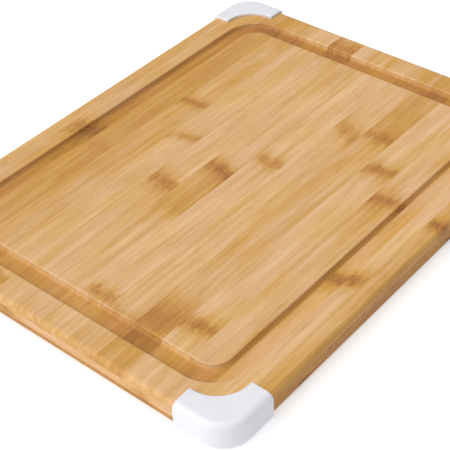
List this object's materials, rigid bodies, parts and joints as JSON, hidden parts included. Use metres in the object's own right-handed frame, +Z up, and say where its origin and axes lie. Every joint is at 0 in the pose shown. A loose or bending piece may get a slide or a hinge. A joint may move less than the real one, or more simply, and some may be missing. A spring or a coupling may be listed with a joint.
{
  "type": "cutting board",
  "caption": "Three-ply bamboo cutting board with a juice groove all round and white soft corner grips that lift it off the worktop.",
  "frame": {"origin": "middle of the plane that the four grips stand on", "axes": "+X along the board and the grain of its top, +Y across it, +Z up"},
  "size_m": [0.3636, 0.2836, 0.0202],
  "materials": {
    "bamboo_face": "satin",
    "bamboo_core": "satin",
    "bamboo_base": "satin",
    "soft_grip": "satin"
  },
  "bodies": {
    "root": {"top_strip_01": "bamboo_face", "top_strip_02": "bamboo_face", "top_strip_03": "bamboo_face", "top_strip_04": "bamboo_face", "top_strip_05": "bamboo_face", "top_strip_06": "bamboo_face", "top_strip_07": "bamboo_face", "top_strip_08": "bamboo_face", "top_strip_09": "bamboo_face", "top_strip_10": "bamboo_face", "top_strip_11": "bamboo_face", "top_strip_12": "bamboo_face", "top_strip_13": "bamboo_face", "top_strip_14": "bamboo_face", "core_strip_01": "bamboo_core", "core_strip_02": "bamboo_core", "core_strip_03": "bamboo_core", "core_strip_04": "bamboo_core", "core_strip_05": "bamboo_core", "core_strip_06": "bamboo_core", "core_strip_07": "bamboo_core", "core_strip_08": "bamboo_core", "core_strip_09": "bamboo_core", "core_strip_10": "bamboo_core", "core_strip_11": "bamboo_core", "core_strip_12": "bamboo_core", "core_strip_13": "bamboo_core", "core_strip_14": "bamboo_core", "core_strip_15": "bamboo_core", "core_strip_16": "bamboo_core", "core_strip_17": "bamboo_core", "base_strip_01": "bamboo_base", "base_strip_02": "bamboo_base", "base_strip_03": "bamboo_base", "base_strip_04": "bamboo_base", "base_strip_05": "bamboo_base", "base_strip_06": "bamboo_base", "base_strip_07": "bamboo_base", "base_strip_08": "bamboo_base", "base_strip_09": "bamboo_base", "base_strip_10": "bamboo_base", "base_strip_11": "bamboo_base", "base_strip_12": "bamboo_base", "base_strip_13": "bamboo_base", "base_strip_14": "bamboo_base", "corner_grip_front_left": "soft_grip", "corner_grip_front_right": "soft_grip", "corner_grip_back_left": "soft_grip", "corner_grip_back_right": "soft_grip"}
  },
  "joints": []
}
